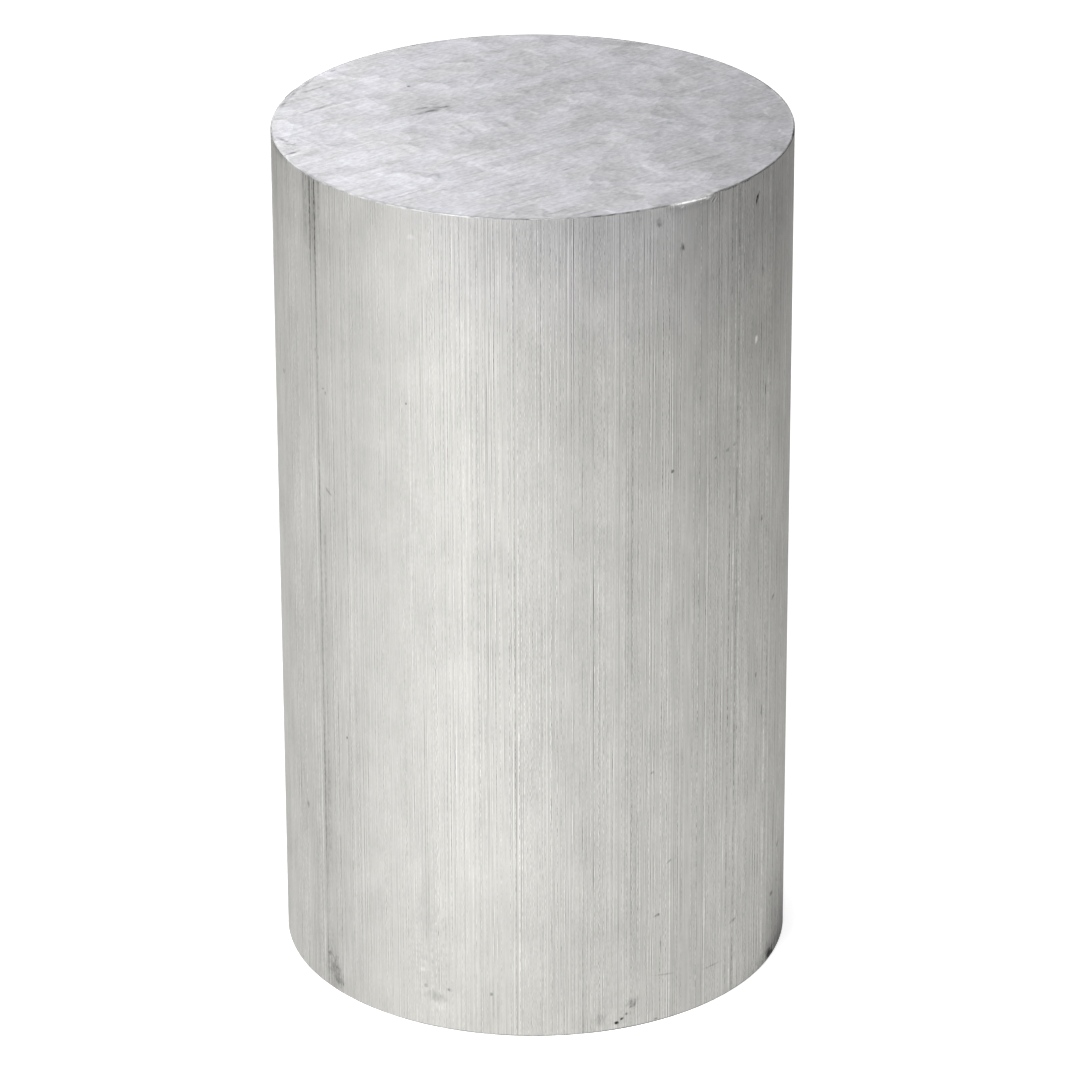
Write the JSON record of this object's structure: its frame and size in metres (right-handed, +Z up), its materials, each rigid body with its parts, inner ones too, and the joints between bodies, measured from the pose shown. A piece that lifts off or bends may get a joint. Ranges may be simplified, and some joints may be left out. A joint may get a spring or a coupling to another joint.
{
  "type": "aluminium rod",
  "caption": "Short, thick length of solid round aluminium bar, with an extruded mill-finish wall and rough sawn ends: raw stock for turning, milling or use as a spacer.",
  "frame": {"origin": "centre of the lower sawn end, the face that the rod stands on", "axes": "+Z up along the rod's axis, towards its upper sawn end; X and Y lie across the round section"},
  "size_m": [0.0888, 0.0888, 0.152],
  "materials": {
    "mill_finish_aluminium": "extruded mill finish with fine die lines along the wall, rough sawn ends"
  },
  "bodies": {
    "root": {"rod": "mill_finish_aluminium"}
  },
  "joints": []
}
